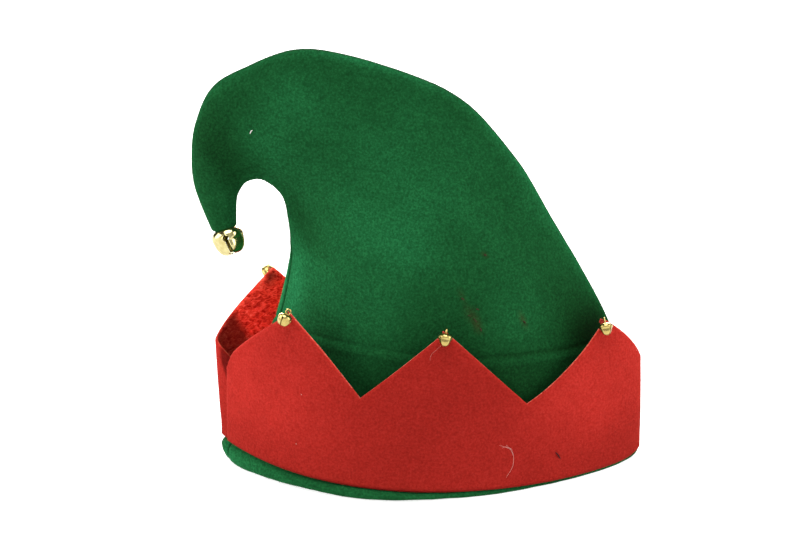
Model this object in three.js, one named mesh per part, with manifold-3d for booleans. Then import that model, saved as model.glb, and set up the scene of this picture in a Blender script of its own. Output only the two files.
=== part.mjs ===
// Elf hat: a green felt crown that curls over to one side, a red felt band cut in peaks round its rim,
// a small jingle bell on each peak and a larger one at the hanging tip.
// Millimetres, +Z up. The seams lie at the two ends of X, and the tip hangs on the side of -X.

import * as THREE from 'three';
import { mergeVertices } from 'three/addons/utils/BufferGeometryUtils.js';
import Module from 'manifold-3d';

const wasm = await Module();
wasm.setup();

// Crown
const crownHeight = 246;
const rimHalfWidth = 119.8;
const rimHalfDepth = 59.5;
const rimFullness = 0.12;
const feltThickness = 2;
const turnUpHeight = 85;
const seamTurn = 0.356;
const seamGap = 0.4;
const seamWall = 1.5;
const seamTurnSections = 6;
const creaseHalfStep = 0.02;

// Rolled edge that shows under the band
const rollHeightMost = 12.8;
const rollBulgeMost = 5;
const rollTuck = 0.6;

// Zigzag band
const bandThickness = 2;
const bandPeakUnderHook = 108.3;
const bandPeakFarSide = 90.7;
const bandValleyUnderHook = 66.5;
const bandValleyFarSide = 46.5;
const bandFlareUnderHook = 0.035;
const bandFlareFarSide = -0.014;
const bandLean = 0.048;
const layGap = 0.4;

// Jingle bells
const cuffBellDiameter = 8;
const cuffBellWall = 0.4;
const cuffBellSides = 10;
const cuffLoopRadius = 1.9;
const cuffLoopWire = 0.35;
const tipBellDiameter = 18.4;
const tipBellWall = 0.7;
const tipBellSides = 16;
const tipLoopWire = 0.6;
const bellGap = 0.3;
const tipBellLean = 19;

// Fineness of the facets
const stepsPerSection = 2;
const levelSections = 3;
const stepsPerFlank = 4;
const bandRows = 4;
const bellQuarterSteps = 3;
const holeSides = 6;
const loopSides = 10;
const wireSides = 5;

// Each section of the crown runs from its inner end, on the side of the curl, to its outer end.
// Ends are shares of the rim's half width (X) and of the crown's height (Z), and depth is a share
// of the rim's half depth. A point of 1 is a round section and 2 is a sharp one.
const crownSections = [
  { innerX: -1.0, innerZ: 0.0, outerX: 1.0, outerZ: 0.0, depth: 1.0, point: 1.55 },
  { innerX: -0.93, innerZ: 0.12, outerX: 0.98, outerZ: 0.12, depth: 0.93, point: 1.6 },
  { innerX: -0.77, innerZ: 0.31, outerX: 0.87, outerZ: 0.31, depth: 0.8, point: 1.62 },
  { innerX: -0.678, innerZ: 0.488, outerX: 0.69, outerZ: 0.488, depth: 0.66, point: 1.6 },
  { innerX: -0.668, innerZ: 0.546, outerX: 0.57, outerZ: 0.588, depth: 0.57, point: 1.6 },
  { innerX: -0.678, innerZ: 0.595, outerX: 0.388, outerZ: 0.735, depth: 0.46, point: 1.6 },
  { innerX: -0.69, innerZ: 0.636, outerX: 0.163, outerZ: 0.864, depth: 0.37, point: 1.55 },
  { innerX: -0.712, innerZ: 0.661, outerX: -0.154, outerZ: 0.945, depth: 0.3, point: 1.5 },
  { innerX: -0.747, innerZ: 0.681, outerX: -0.45, outerZ: 0.986, depth: 0.26, point: 1.45 },
  { innerX: -0.792, innerZ: 0.695, outerX: -0.655, outerZ: 0.99, depth: 0.23, point: 1.4 },
  { innerX: -0.834, innerZ: 0.695, outerX: -0.884, outerZ: 0.948, depth: 0.205, point: 1.4 },
  { innerX: -0.872, innerZ: 0.688, outerX: -1.016, outerZ: 0.902, depth: 0.185, point: 1.35 },
  { innerX: -0.901, innerZ: 0.671, outerX: -1.087, outerZ: 0.829, depth: 0.165, point: 1.3 },
  { innerX: -0.917, innerZ: 0.652, outerX: -1.11, outerZ: 0.763, depth: 0.145, point: 1.25 },
  { innerX: -0.924, innerZ: 0.627, outerX: -1.103, outerZ: 0.679, depth: 0.12, point: 1.2 },
  { innerX: -0.928, innerZ: 0.578, outerX: -1.026, outerZ: 0.569, depth: 0.092, point: 1.1 },
];

// The rolled edge in equal steps from the hook side to the far side: its height and how far it stands
// out, as shares of the most of each.
const rolledEdge = [
  { height: 1, bulge: 0.6 },
  { height: 0.7, bulge: 0.9 },
  { height: 0.43, bulge: 1 },
  { height: 0.31, bulge: 0.35 },
  { height: 0.2, bulge: 0.15 },
  { height: 0.14, bulge: 0.25 },
];

// Profile of the rolled edge from the floor up: share of its height, share of its bulge, and share of
// the doubled felt's wall.
const rollProfile = [
  { height: 0, bulge: 0.3, wall: 0.75 },
  { height: 0.2, bulge: 0.85, wall: 0.95 },
  { height: 0.65, bulge: 1, wall: 1 },
  { height: 1, bulge: 0.1, wall: 1 },
];

// Valleys and peaks of a band panel in turn, as shares of its length. Sag is how far the flank from there
// to the next one dips under a straight line, as a share of its height.
const zigzag = {
  front: [
    { along: 0, sag: 0 },
    { along: 0.171, sag: 0 },
    { along: 0.316, sag: 0 },
    { along: 0.489, sag: 0 },
    { along: 0.653, sag: 0.08 },
    { along: 0.839, sag: -0.1 },
    { along: 1, sag: 0 },
  ],
  back: [
    { along: 0, sag: 0 },
    { along: 0.2, sag: 0 },
    { along: 0.35, sag: 0 },
    { along: 0.5, sag: 0 },
    { along: 0.65, sag: 0 },
    { along: 0.78, sag: 0.07 },
    { along: 1, sag: 0 },
  ],
};

// How each small bell hangs at its peak: its shift along the rim in millimetres, and its lean to the
// side and turn about its own axis in degrees.
const cuffBells = [
  { panel: 'front', shift: 1.5, lean: 29, turn: 90 },
  { panel: 'front', shift: -0.8, lean: 4, turn: 0 },
  { panel: 'front', shift: -3.5, lean: -3, turn: 20 },
  { panel: 'back', shift: 0.5, lean: -8, turn: 35 },
  { panel: 'back', shift: 1, lean: 12, turn: 10 },
  { panel: 'back', shift: -1.5, lean: -8, turn: 60 },
];

// Shares of a bell's diameter: its heights above and below the widest line, the slots' width, and the
// radius of the holes and how far they lie below the widest line. A square of 1 is round in outline.
const bellShape = { crown: 0.28, bowl: 0.6, slot: 0.085, hole: 0.1, holeDrop: 0.09, square: 0.9 };

const colours = { crown: 0x1f6a3a, band: 0xb42a28, bell: 0xd9c07a };

// Smooth value between the rows of a table: position 0 is the first row, 1 the second, and so on.
function between(rows, name, position) {
  const last = rows.length - 1;
  const i = Math.min(Math.floor(position), last - 1);
  const t = position - i;
  const [a, b, c, d] = [i - 1, i, i + 1, i + 2].map((k) => rows[THREE.MathUtils.clamp(k, 0, last)][name]);
  return b + 0.5 * t * (c - a + t * (2 * a - 5 * b + 4 * c - d + t * (3 * (b - c) + d - a)));
}

function crownRing(position) {
  const at = (name) => between(crownSections, name, position);
  return {
    inner: new THREE.Vector2(at('innerX') * rimHalfWidth, at('innerZ') * crownHeight),
    outer: new THREE.Vector2(at('outerX') * rimHalfWidth, at('outerZ') * crownHeight),
    depth: at('depth') * rimHalfDepth,
    point: at('point'),
  };
}

// Position in the table of a height above the rim. It holds in the first sections, which lie level.
function positionOfHeight(height) {
  let [low, high] = [0, levelSections];
  while (high - low > 1e-6) {
    const middle = (low + high) / 2;
    if (crownRing(middle).inner.y < height) low = middle;
    else high = middle;
  }
  return low;
}

// Point of a ring: angle 0 is its inner end, and the angle grows round the front to pi at the outer end.
// The ring can grow or shrink along its chord and in its depth.
function ringPoint(ring, angle, growAlong = 0, growDepth = 0) {
  const chord = ring.outer.clone().sub(ring.inner);
  const reach = chord.length() / 2 + growAlong;
  const middle = ring.inner.clone().add(ring.outer).multiplyScalar(0.5);
  const across = -Math.cos(angle);
  const round = Math.sign(Math.sin(angle)) * Math.abs(Math.sin(angle)) ** ring.point;
  const spot = middle.add(chord.setLength(reach * Math.abs(across)).multiplyScalar(Math.sign(across)));
  const y = -(ring.depth + growDepth) * round * (1 - rimFullness * across);
  return new THREE.Vector3(spot.x, y, spot.y);
}

// Share of the way from the hook side (0) to the far side (1) of the rim.
const farShare = (x) => THREE.MathUtils.clamp((x / rimHalfWidth + 1) / 2, 0, 1);
const rolledEdgeAt = (name, x) => between(rolledEdge, name, farShare(x) * (rolledEdge.length - 1));
const rollHeight = (x) => rollHeightMost * rolledEdgeAt('height', x);

// A closed wall between two grids of points, rows of equal length from the bottom up.
function wallGeometry(outside, inside) {
  const rows = outside.length;
  const columns = outside[0].length;
  const points = [...outside.flat(), ...inside.flat()];
  const out = (row, column) => row * columns + column;
  const inn = (row, column) => rows * columns + row * columns + column;
  const index = [];
  const quad = (a, b, c, d) => index.push(a, b, c, a, c, d);
  for (let r = 0; r < rows - 1; r += 1) {
    for (let c = 0; c < columns - 1; c += 1) {
      quad(out(r, c), out(r, c + 1), out(r + 1, c + 1), out(r + 1, c));
      quad(inn(r, c), inn(r + 1, c), inn(r + 1, c + 1), inn(r, c + 1));
    }
    quad(out(r, 0), out(r + 1, 0), inn(r + 1, 0), inn(r, 0));
    quad(out(r, columns - 1), inn(r, columns - 1), inn(r + 1, columns - 1), out(r + 1, columns - 1));
  }
  for (let c = 0; c < columns - 1; c += 1) {
    quad(out(0, c), inn(0, c), inn(0, c + 1), out(0, c + 1));
    quad(out(rows - 1, c), out(rows - 1, c + 1), inn(rows - 1, c + 1), inn(rows - 1, c));
  }
  const geometry = new THREE.BufferGeometry();
  geometry.setAttribute('position', new THREE.Float32BufferAttribute(points.flatMap((p) => p.toArray()), 3));
  geometry.setIndex(index);
  geometry.computeVertexNormals();
  return geometry;
}

// The front panel starts at angle 0 and the back panel half a turn later. Half the seam's gap is each one's.
const panelStart = { front: 0, back: Math.PI };
const panelShift = { front: -seamGap / 2, back: seamGap / 2 };

// Ring of the band at a height: the rim's own ring, outside the crown, a little flared along the
// hat's width and leaning in over its depth.
function bandPoint(angle, height, offset) {
  const ring = crownRing(0);
  ring.inner.set(ring.inner.x - bandFlareUnderHook * height, height);
  ring.outer.set(ring.outer.x + bandFlareFarSide * height, height);
  return ringPoint(ring, angle, offset, offset - bandLean * height);
}

// Columns of points of one panel, each with its angle and its rise from a valley (0) to a peak (1).
// Every flank is cut into equal angles, so crown and band share the same facets where they lie on each
// other. The rise goes by length along the rim, because the felt's flanks are cut straight.
function panelColumns(side) {
  const fine = 720;
  const start = panelStart[side] + seamTurn;
  const angles = Array.from({ length: fine + 1 }, (_, i) => start + (i / fine) * Math.PI);
  const spots = angles.map((angle) => bandPoint(angle, 0, layGap));
  const run = [0];
  for (let i = 1; i <= fine; i += 1) run.push(run[i - 1] + spots[i].distanceTo(spots[i - 1]));
  const follow = (from, to, value) => {
    const i = THREE.MathUtils.clamp(from.findIndex((limit) => limit >= value), 1, fine);
    return THREE.MathUtils.mapLinear(value, from[i - 1], from[i], to[i - 1], to[i]);
  };
  const corners = zigzag[side].map(({ along }) => along * run[fine]);
  const columns = [{ angle: angles[0], rise: 0 }];
  for (let k = 1; k < corners.length; k += 1) {
    const [first, last] = [follow(run, angles, corners[k - 1]), follow(run, angles, corners[k])];
    for (let i = 1; i <= stepsPerFlank; i += 1) {
      const angle = THREE.MathUtils.lerp(first, last, i / stepsPerFlank);
      const part = i === stepsPerFlank
        ? 1
        : THREE.MathUtils.inverseLerp(corners[k - 1], corners[k], follow(angles, run, angle));
      const straight = k % 2 === 1 ? part : 1 - part;
      columns.push({ angle, rise: straight - 4 * zigzag[side][k - 1].sag * part * (1 - part) });
    }
  }
  return columns;
}

// One panel of the crown. Its felt is doubled up to the height of the turned-in edge, and its lower
// edge is rolled outwards under the band.
function crownPanel(side) {
  const crease = positionOfHeight(turnUpHeight);
  const rows = [
    { position: positionOfHeight(rollHeightMost + 2 * layGap), layers: 2 },
    { position: crease - creaseHalfStep, layers: 2 },
    { position: crease + creaseHalfStep, layers: 1 },
  ];
  for (let p = 1; p <= crownSections.length - 1; p += p < levelSections ? 1 : 1 / stepsPerSection) {
    rows.push({ position: p, layers: p < crease ? 2 : 1 });
  }
  rows.sort((a, b) => a.position - b.position);

  const outside = [];
  const inside = [];
  const columns = panelColumns(side);
  const place = (ring, angle, along, depth) =>
    ringPoint(ring, angle, along, depth).add(new THREE.Vector3(0, panelShift[side], 0));

  for (const row of rollProfile) {
    outside.push([]);
    inside.push([]);
    for (const { angle } of columns) {
      const x = -Math.cos(angle) * rimHalfWidth;
      const height = row.height * (rollHeight(x) - layGap);
      const ring = crownRing(positionOfHeight(height));
      ring.inner.y = height;
      ring.outer.y = height;
      const swell = row.bulge * rollBulgeMost * rolledEdgeAt('bulge', x) - (row.height === 0 ? rollTuck : 0);
      const wall = 2 * feltThickness * row.wall;
      outside.at(-1).push(place(ring, angle, swell, swell));
      inside.at(-1).push(place(ring, angle, -seamWall * wall, -wall));
    }
  }
  for (const { position, layers } of rows) {
    const ring = crownRing(position);
    const turn = -seamTurn * THREE.MathUtils.smoothstep(position, 0, seamTurnSections);
    const wall = layers * feltThickness;
    outside.push(columns.map(({ angle }) => place(ring, angle + turn, 0, 0)));
    inside.push(columns.map(({ angle }) => place(ring, angle + turn, -seamWall * wall, -wall)));
  }
  return wallGeometry(outside, inside);
}

// Height of the band's cut edge: straight flanks between a valley (0) and a peak (1).
function bandTop(x, rise) {
  const peak = THREE.MathUtils.lerp(bandPeakUnderHook, bandPeakFarSide, farShare(x));
  const valley = THREE.MathUtils.lerp(bandValleyUnderHook, bandValleyFarSide, farShare(x));
  return THREE.MathUtils.lerp(valley, peak, rise);
}

function bandPanel(side) {
  const columns = panelColumns(side);
  const point = (column, up, offset) => {
    const x = -Math.cos(column.angle) * rimHalfWidth;
    const height = THREE.MathUtils.lerp(rollHeight(x), bandTop(x, column.rise), up);
    return bandPoint(column.angle, height, offset).add(new THREE.Vector3(0, panelShift[side], 0));
  };
  const shares = Array.from({ length: bandRows + 1 }, (_, row) => row / bandRows);
  const surface = (offset) => shares.map((up) => columns.map((column) => point(column, up, offset)));
  return wallGeometry(surface(layGap + bandThickness), surface(layGap));
}

// Turns a closed geometry into a solid that can be joined and cut.
function solid(geometry) {
  const bare = geometry.clone();
  bare.deleteAttribute('normal');
  bare.deleteAttribute('uv');
  const merged = mergeVertices(bare, 1e-4);
  return new wasm.Manifold(new wasm.Mesh({
    numProp: 3,
    vertProperties: new Float32Array(merged.attributes.position.array),
    triVerts: new Uint32Array(merged.index.array),
  }));
}

function geometryOf(body) {
  const mesh = body.getMesh();
  const geometry = new THREE.BufferGeometry();
  geometry.setAttribute('position', new THREE.Float32BufferAttribute(mesh.vertProperties, 3));
  geometry.setIndex(Array.from(mesh.triVerts));
  geometry.computeVertexNormals();
  return geometry;
}

// Half outline of a bell from its bottom pole to its top: quarter curves above and below the widest line.
function bellOutline(diameter, inset) {
  const radius = diameter / 2 - inset;
  const points = [];
  for (let i = 0; i <= 2 * bellQuarterSteps; i += 1) {
    const angle = (i / bellQuarterSteps - 1) * (Math.PI / 2);
    const half = (angle < 0 ? bellShape.bowl : bellShape.crown) * diameter - inset;
    const out = i % (2 * bellQuarterSteps) === 0 ? 0 : Math.cos(angle) ** bellShape.square;
    points.push(new THREE.Vector2(radius * out, half * Math.sin(angle)));
  }
  return points;
}

// A jingle bell on +Z: a thin shell with a cross of two slots in its bowl, a round hole at each end of
// a slot, and a wire loop on top.
function bellGeometry({ diameter, wall, sides, loopRadius, loopWire }) {
  const upright = new THREE.Matrix4().makeRotationX(Math.PI / 2);
  const shell = (inset) => {
    const lathe = new THREE.LatheGeometry(bellOutline(diameter, inset), sides);
    return solid(lathe.applyMatrix4(upright));
  };
  const slotDepth = bellShape.bowl * diameter;
  const through = 1.2 * diameter;
  const slot = new THREE.BoxGeometry(through, bellShape.slot * diameter, slotDepth);
  slot.translate(0, 0, -slotDepth / 2 - bellShape.holeDrop * diameter);
  const holeRadius = bellShape.hole * diameter;
  const hole = new THREE.CylinderGeometry(holeRadius, holeRadius, through, holeSides);
  hole.rotateZ(Math.PI / 2).translate(0, 0, -bellShape.holeDrop * diameter);
  const quarter = new THREE.Matrix4().makeRotationZ(Math.PI / 2);
  let body = shell(0).subtract(shell(wall));
  for (const cutter of [slot, slot.clone().applyMatrix4(quarter), hole, hole.clone().applyMatrix4(quarter)]) {
    body = body.subtract(solid(cutter));
  }
  const loop = new THREE.TorusGeometry(loopRadius - loopWire, loopWire, wireSides, loopSides);
  loop.rotateX(Math.PI / 2).translate(0, 0, loopCentre({ diameter, loopRadius, loopWire }));
  return geometryOf(body.add(solid(loop)));
}

// The loop's wire goes into the bell's top as deep as it is thick.
function loopCentre({ diameter, loopRadius, loopWire }) {
  return bellShape.crown * diameter + loopRadius - loopWire;
}

const felt = (colour) => new THREE.MeshStandardMaterial({ color: colour, roughness: 0.95, metalness: 0 });
const gold = () => new THREE.MeshStandardMaterial({ color: colours.bell, roughness: 0.25, metalness: 1 });

const hat = new THREE.Group();

function addPiece(name, geometry, material) {
  const mesh = new THREE.Mesh(geometry, material);
  mesh.name = name;
  hat.add(mesh);
  return mesh;
}

for (const side of ['front', 'back']) {
  addPiece(`crown_${side}`, crownPanel(side), felt(colours.crown));
  addPiece(`band_${side}`, bandPanel(side), felt(colours.band));
}

// Each small bell hangs by its loop at the top of its peak and lies against the band's outer face.
const cuffBell = {
  diameter: cuffBellDiameter,
  wall: cuffBellWall,
  sides: cuffBellSides,
  loopRadius: cuffLoopRadius,
  loopWire: cuffLoopWire,
};
const cuffBellShell = bellGeometry(cuffBell);
const loopLift = 0.1 * cuffBellDiameter;
const loopStandOff = 0.3 * cuffBellDiameter;
const bodyStandOff = cuffBellDiameter / 2 + bellGap;
cuffBells.forEach(({ panel, shift, lean, turn }, i) => {
  const peaks = panelColumns(panel).filter(({ rise }) => rise === 1);
  const { angle } = peaks[i % peaks.length];
  const top = bandTop(-Math.cos(angle) * rimHalfWidth, 1);
  const face = bandPoint(angle, top, layGap + bandThickness);
  const smallTurn = 0.01;
  const along = bandPoint(angle + smallTurn, top, layGap + bandThickness).sub(face).normalize();
  const up = new THREE.Vector3(0, 0, 1);
  const outward = along.clone().cross(up);
  const pitch = -Math.asin((bodyStandOff - loopStandOff) / loopCentre(cuffBell));
  const frame = new THREE.Matrix4().makeBasis(along, outward.clone().negate(), up);
  const pose = new THREE.Euler(pitch, THREE.MathUtils.degToRad(lean), THREE.MathUtils.degToRad(turn), 'YXZ');
  const bell = addPiece(`cuff_bell_${i + 1}`, cuffBellShell, gold());
  bell.quaternion.setFromRotationMatrix(frame).multiply(new THREE.Quaternion().setFromEuler(pose));
  const loop = new THREE.Vector3(0, 0, loopCentre(cuffBell)).applyQuaternion(bell.quaternion);
  bell.position.copy(face).addScaledVector(along, shift).addScaledVector(outward, loopStandOff);
  bell.position.addScaledVector(up, loopLift).sub(loop);
});

// The large bell hangs from the crown's tip, its loop inside the hollow end of the felt.
const tipRing = crownRing(crownSections.length - 1);
const tipEnd = tipRing.inner.clone().add(tipRing.outer).multiplyScalar(0.5);
const tipHollow = tipRing.inner.distanceTo(tipRing.outer) / 2 - seamWall * feltThickness;
const tipBellShell = bellGeometry({
  diameter: tipBellDiameter,
  wall: tipBellWall,
  sides: tipBellSides,
  loopRadius: tipHollow - bellGap,
  loopWire: tipLoopWire,
});
const tipBell = addPiece('tip_bell', tipBellShell, gold());
tipBell.rotation.y = -THREE.MathUtils.degToRad(tipBellLean);
const tipDrop = new THREE.Vector3(0, 0, -bellShape.crown * tipBellDiameter - bellGap);
tipBell.position.set(tipEnd.x, 0, tipEnd.y).add(tipDrop.applyEuler(tipBell.rotation));

// The origin is under the middle of the hat's box, on the surface that it stands on.
hat.updateMatrixWorld(true);
const box = new THREE.Box3().setFromObject(hat, true);
hat.position.set(-(box.min.x + box.max.x) / 2, -(box.min.y + box.max.y) / 2, -box.min.z);
hat.updateMatrixWorld(true);

export default hat;
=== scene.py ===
"""Elf hat: brushed felt crown and zigzag band, plated jingle bells, sewing thread and lint."""

import math

import bpy
import numpy as np
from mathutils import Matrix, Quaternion, Vector


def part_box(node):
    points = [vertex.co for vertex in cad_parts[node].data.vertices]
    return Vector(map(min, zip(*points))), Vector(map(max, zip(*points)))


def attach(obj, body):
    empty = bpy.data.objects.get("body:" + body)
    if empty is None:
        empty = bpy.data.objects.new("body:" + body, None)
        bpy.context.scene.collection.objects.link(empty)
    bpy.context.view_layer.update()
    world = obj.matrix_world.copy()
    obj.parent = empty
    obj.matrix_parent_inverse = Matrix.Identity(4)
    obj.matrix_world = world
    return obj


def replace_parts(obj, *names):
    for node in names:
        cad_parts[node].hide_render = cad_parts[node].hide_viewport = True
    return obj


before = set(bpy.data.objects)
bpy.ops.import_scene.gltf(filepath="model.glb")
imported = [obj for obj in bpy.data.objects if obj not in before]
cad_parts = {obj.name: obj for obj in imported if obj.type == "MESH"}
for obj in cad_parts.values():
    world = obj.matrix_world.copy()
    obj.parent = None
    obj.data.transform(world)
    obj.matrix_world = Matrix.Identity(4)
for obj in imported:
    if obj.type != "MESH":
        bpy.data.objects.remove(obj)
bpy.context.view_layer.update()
TIP_BELL_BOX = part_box("tip_bell")

bl_info = {
    "name": "Elf Hat",
    "version": (1, 0, 0),
    "blender": (4, 5, 0),
    "location": "3D View > Sidebar > Elf Hat",
    "description": "Builds a felt elf hat with jingle bells around its frame",
    "category": "Add Mesh",
}

MM = 0.001

# Sizes of the hat, in millimetres unless said. The tables count from the point on the floor under the
# middle of the rim, and ORIGIN is where that point stands in the object's frame.
ORIGIN = np.array([5.964, -0.3483, 0.0])
CROWN_HEIGHT = 246.0
RIM_HALF_WIDTH = 119.8
RIM_HALF_DEPTH = 59.5
RIM_FULLNESS = 0.12  # share of its depth that the rim gains at the hook side and loses at the far side
TURN_UP_HEIGHT = 85.0  # where the felt turned in at the hem ends
SEAM_TURN = 0.356  # radians round the rim from its ends to the side seams
SEAM_TURN_SECTIONS = 6.0  # rows of the crown's table over which that turn fades out
SEAM_GAP = 0.4  # between the outer faces of two panels at their seam
SEAM_MEET = 0.04  # how far their inner faces reach into each other there
SEAM_WALL = 1.5  # width of the wall at a seam, in layers of felt
LEVEL_SECTIONS = 3.0  # rows of the crown's table up to which its sections are level
ROLL_HEIGHT_MOST = 12.8
ROLL_BULGE_MOST = 5.0
FLOOR_TUCK = 2.4  # how far the roll draws in at the floor
HOOK_END_SWELL = 1.5  # how much the roll swells at the hook side
FAR_END_LIFT = 2.8  # how far the rim stands off the floor at the far side
BAND_PEAK = (108.3, 90.7)  # heights at the hook side and at the far side
BAND_VALLEY = (66.5, 46.5)
BAND_FLARE = (0.035, -0.014)  # widening by the height, at the hook side and at the far side
BAND_LEAN = 0.048  # loss of depth by the height
LAY_GAP = 0.4  # between the crown and the band
BAND_REACH = LAY_GAP + 2.0  # from the crown to the outer face of the band
DOME, BOWL = 0.28, 0.6  # a bell above and below its widest line, as shares of its diameter
LOOP_RADIUS, LOOP_WIRE = 1.9, 0.4  # of a small bell: its loop's outer radius and the wire's radius

# Fineness of the grids: the crown's columns and even rows, the band's columns for each flank and rows.
CROWN_GRID = (200, 108)
BAND_GRID = (40, 48)

# Nap of each kind of panel: number of fibres, share of the nap's length, and the way it lies.
NAPS = {"crown": (44000, 1.0, (0, 0, -0.15)), "band": (20000, 0.9, (0, 0, 0.1))}
NAP_CURL = 0.6  # how far single fibres stray from it

# Seeds of the random draws.
SEEDS = {
    "front": {"crown": 11, "band": 37, "band_lift": 71, "crown_nap": 101, "band_nap": 107},
    "back": {"crown": 23, "band": 53, "band_lift": 83, "crown_nap": 103, "band_nap": 109},
}
CROWN_TONE_SEED, BAND_TONE_SEED, THREAD_SEED, LINT_SEED = 61, 91, 5, 9

# Cut size of the band's flat felt in metres, width and length: half the rim's length by the band's
# tallest peak.
BAND_CUT = (0.278, 0.097)

# Painted light and shade on the band, as lighter and darker soft patches: share of the panel's length, height
# in millimetres, half width, half height and share of brightness.
BAND_PAINTED_LIGHT = [
    (0.18, 62.0, 0.09, 34.0, 0.11), (0.78, 46.0, 0.09, 26.0, 0.18), (0.10, 18.0, 0.14, 12.0, -0.06),
    (0.03, 55.0, 0.07, 40.0, 0.08), (0.86, 14.0, 0.20, 16.0, -0.08), (0.36, 24.0, 0.10, 18.0, -0.05),
    (0.50, 62.0, 0.13, 30.0, -0.06), (0.12, 42.0, 0.09, 24.0, 0.09), (0.74, 55.0, 0.08, 20.0, 0.06),
]

# Painted shade under a bell's stitches on the inner side of the band's back panel, laid out the same way.
BAND_STITCH_SHADE = [(0.783, 101.5, 0.012, 3.6, -0.55)]

# Rows of the crown's sections: inner end and outer end as shares of the rim's half width and of the
# crown's height, depth as a share of the rim's half depth, and how sharp the section's ends are.
CROWN_SECTIONS = np.array([
    # innerX, innerZ, outerX, outerZ, depth, point
    (-1.0, 0.0, 1.0, 0.0, 1.0, 1.55),
    (-0.93, 0.12, 0.98, 0.12, 0.93, 1.6),
    (-0.77, 0.31, 0.87, 0.31, 0.8, 1.62),
    (-0.678, 0.488, 0.69, 0.488, 0.66, 1.6),
    (-0.668, 0.546, 0.57, 0.588, 0.57, 1.6),
    (-0.678, 0.595, 0.388, 0.735, 0.46, 1.6),
    (-0.69, 0.636, 0.163, 0.864, 0.37, 1.55),
    (-0.712, 0.661, -0.154, 0.945, 0.3, 1.5),
    (-0.747, 0.681, -0.45, 0.986, 0.26, 1.45),
    (-0.792, 0.695, -0.655, 0.99, 0.23, 1.4),
    (-0.834, 0.695, -0.884, 0.948, 0.205, 1.4),
    (-0.872, 0.688, -1.016, 0.902, 0.185, 1.35),
    (-0.901, 0.671, -1.087, 0.829, 0.165, 1.3),
    (-0.917, 0.652, -1.11, 0.763, 0.145, 1.25),
    (-0.924, 0.627, -1.103, 0.679, 0.12, 1.2),
    (-0.928, 0.578, -1.026, 0.569, 0.092, 1.1),
])

# The rolled edge in equal steps from the hook side to the far side: height, bulge.
ROLLED_EDGE = np.array([(1.1, 0.6), (0.7, 0.9), (0.43, 1), (0.31, 0.3), (0.2, 0.1), (0.14, 0.0)])

# Three tables going up the roll: share of its height, then share of its bulge, of its swell at the hook
# side, and of the felt's thickness.
ROLL_PROFILE = [(0, 0.3), (0.08, 0.62), (0.2, 0.86), (0.42, 1.0), (0.65, 0.98), (0.85, 0.72), (1, 0.1)]
HOOK_END_PROFILE = [(0.0, -1.6), (0.35, -0.4), (0.7, 1.0), (0.9, 0.8), (1.0, 0.2)]
ROLL_THICKNESS = [(0, 0.7), (0.15, 0.95), (1, 1)]

# Valleys and peaks of a band panel in turn: share of its length, and sag of the flank from there on.
ZIGZAG = {
    "front": [(0, -0.03), (0.176, -0.05), (0.316, 0), (0.489, 0), (0.653, 0.08), (0.839, -0.1), (1, 0)],
    "back": [(0, 0), (0.2, 0), (0.35, 0), (0.5, 0), (0.65, -0.07), (0.773, 0.05), (1, 0)],
}

# How each small bell hangs: panel, shift along the rim and drop in millimetres, lean and turn in degrees,
# width of its slots in millimetres.
CUFF_BELLS = [
    ("front", 1.0, -1.3, 19, 0, 0.60),
    ("front", -0.2, -1.0, 14, 38, 0.26),
    ("front", -3.7, -0.8, 13, 2, 0.36),
    ("back", 0.5, 0.0, -8, 80, 0.30),
    ("back", 1.0, 0.0, 12, -20, 0.40),
    ("back", 0.8, 1.4, 17, 20, 0.30),
]

# Where each small bell's knot of thread sits and its reach, in millimetres: aside from its loop, above its
# peak, reach.
KNOTS = [
    (-1.0, -3.4, 0.6), (-1.3, 0.5, 0.25), (-0.8, 0.9, 0.75), (-1.8, -1.6, 0.6), (1.8, -1.4, 0.6),
    (0.0, -6.0, 0.5),
]

# How far the crown stands out along its two seams: height in sections of the table, millimetres.
HOOK_SEAM_FULLNESS = [(0, 1.2), (2.0, 1.0), (2.8, 0.1), (6.5, 0.3), (8.5, 1.2), (15, 1.2)]
FAR_SEAM_FULLNESS = [
    (0, 1.2), (2.4, 1.2), (3.4, 0.4), (4.2, 1.2), (4.8, 2.2), (5.5, 1.3), (6.4, 1.8), (7.2, 0.5),
    (8.2, 1.2), (9.0, 1.0), (9.8, 0.4), (10.6, 1.2), (15, 1.2),
]

# Soft dents (-) and swells (+) of the crown's two panels: across the panel from the hook side (0) to the
# far side (1), height in sections of the table, half width across, half height in sections, depth in mm.
CROWN_DENTS = {
    "front": [
        (0.60, 4.6, 0.10, 1.7, 1.5), (0.74, 5.4, 0.09, 1.8, -1.5), (0.34, 3.6, 0.14, 1.6, 1.8),
        (0.16, 5.2, 0.07, 1.6, -1.0), (0.86, 2.9, 0.10, 1.0, -1.6), (0.45, 8.5, 0.16, 1.4, 1.2),
        (0.80, 8.0, 0.14, 1.6, -0.8), (0.12, 8.0, 0.05, 0.8, -1.4), (0.06, 9.2, 0.05, 0.7, 0.8),
        (0.30, 11.6, 0.22, 1.1, -1.4), (0.60, 12.8, 0.30, 1.0, 0.6),
    ],
    "back": [
        (0.40, 4.0, 0.14, 1.8, 1.6), (0.62, 5.8, 0.10, 1.8, -1.4), (0.25, 3.0, 0.12, 1.0, -1.4),
        (0.80, 3.8, 0.12, 1.4, 1.2), (0.14, 7.6, 0.06, 0.9, -1.2), (0.40, 9.4, 0.18, 1.6, 1.0),
        (0.35, 11.8, 0.22, 1.0, -1.2),
    ],
}
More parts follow.
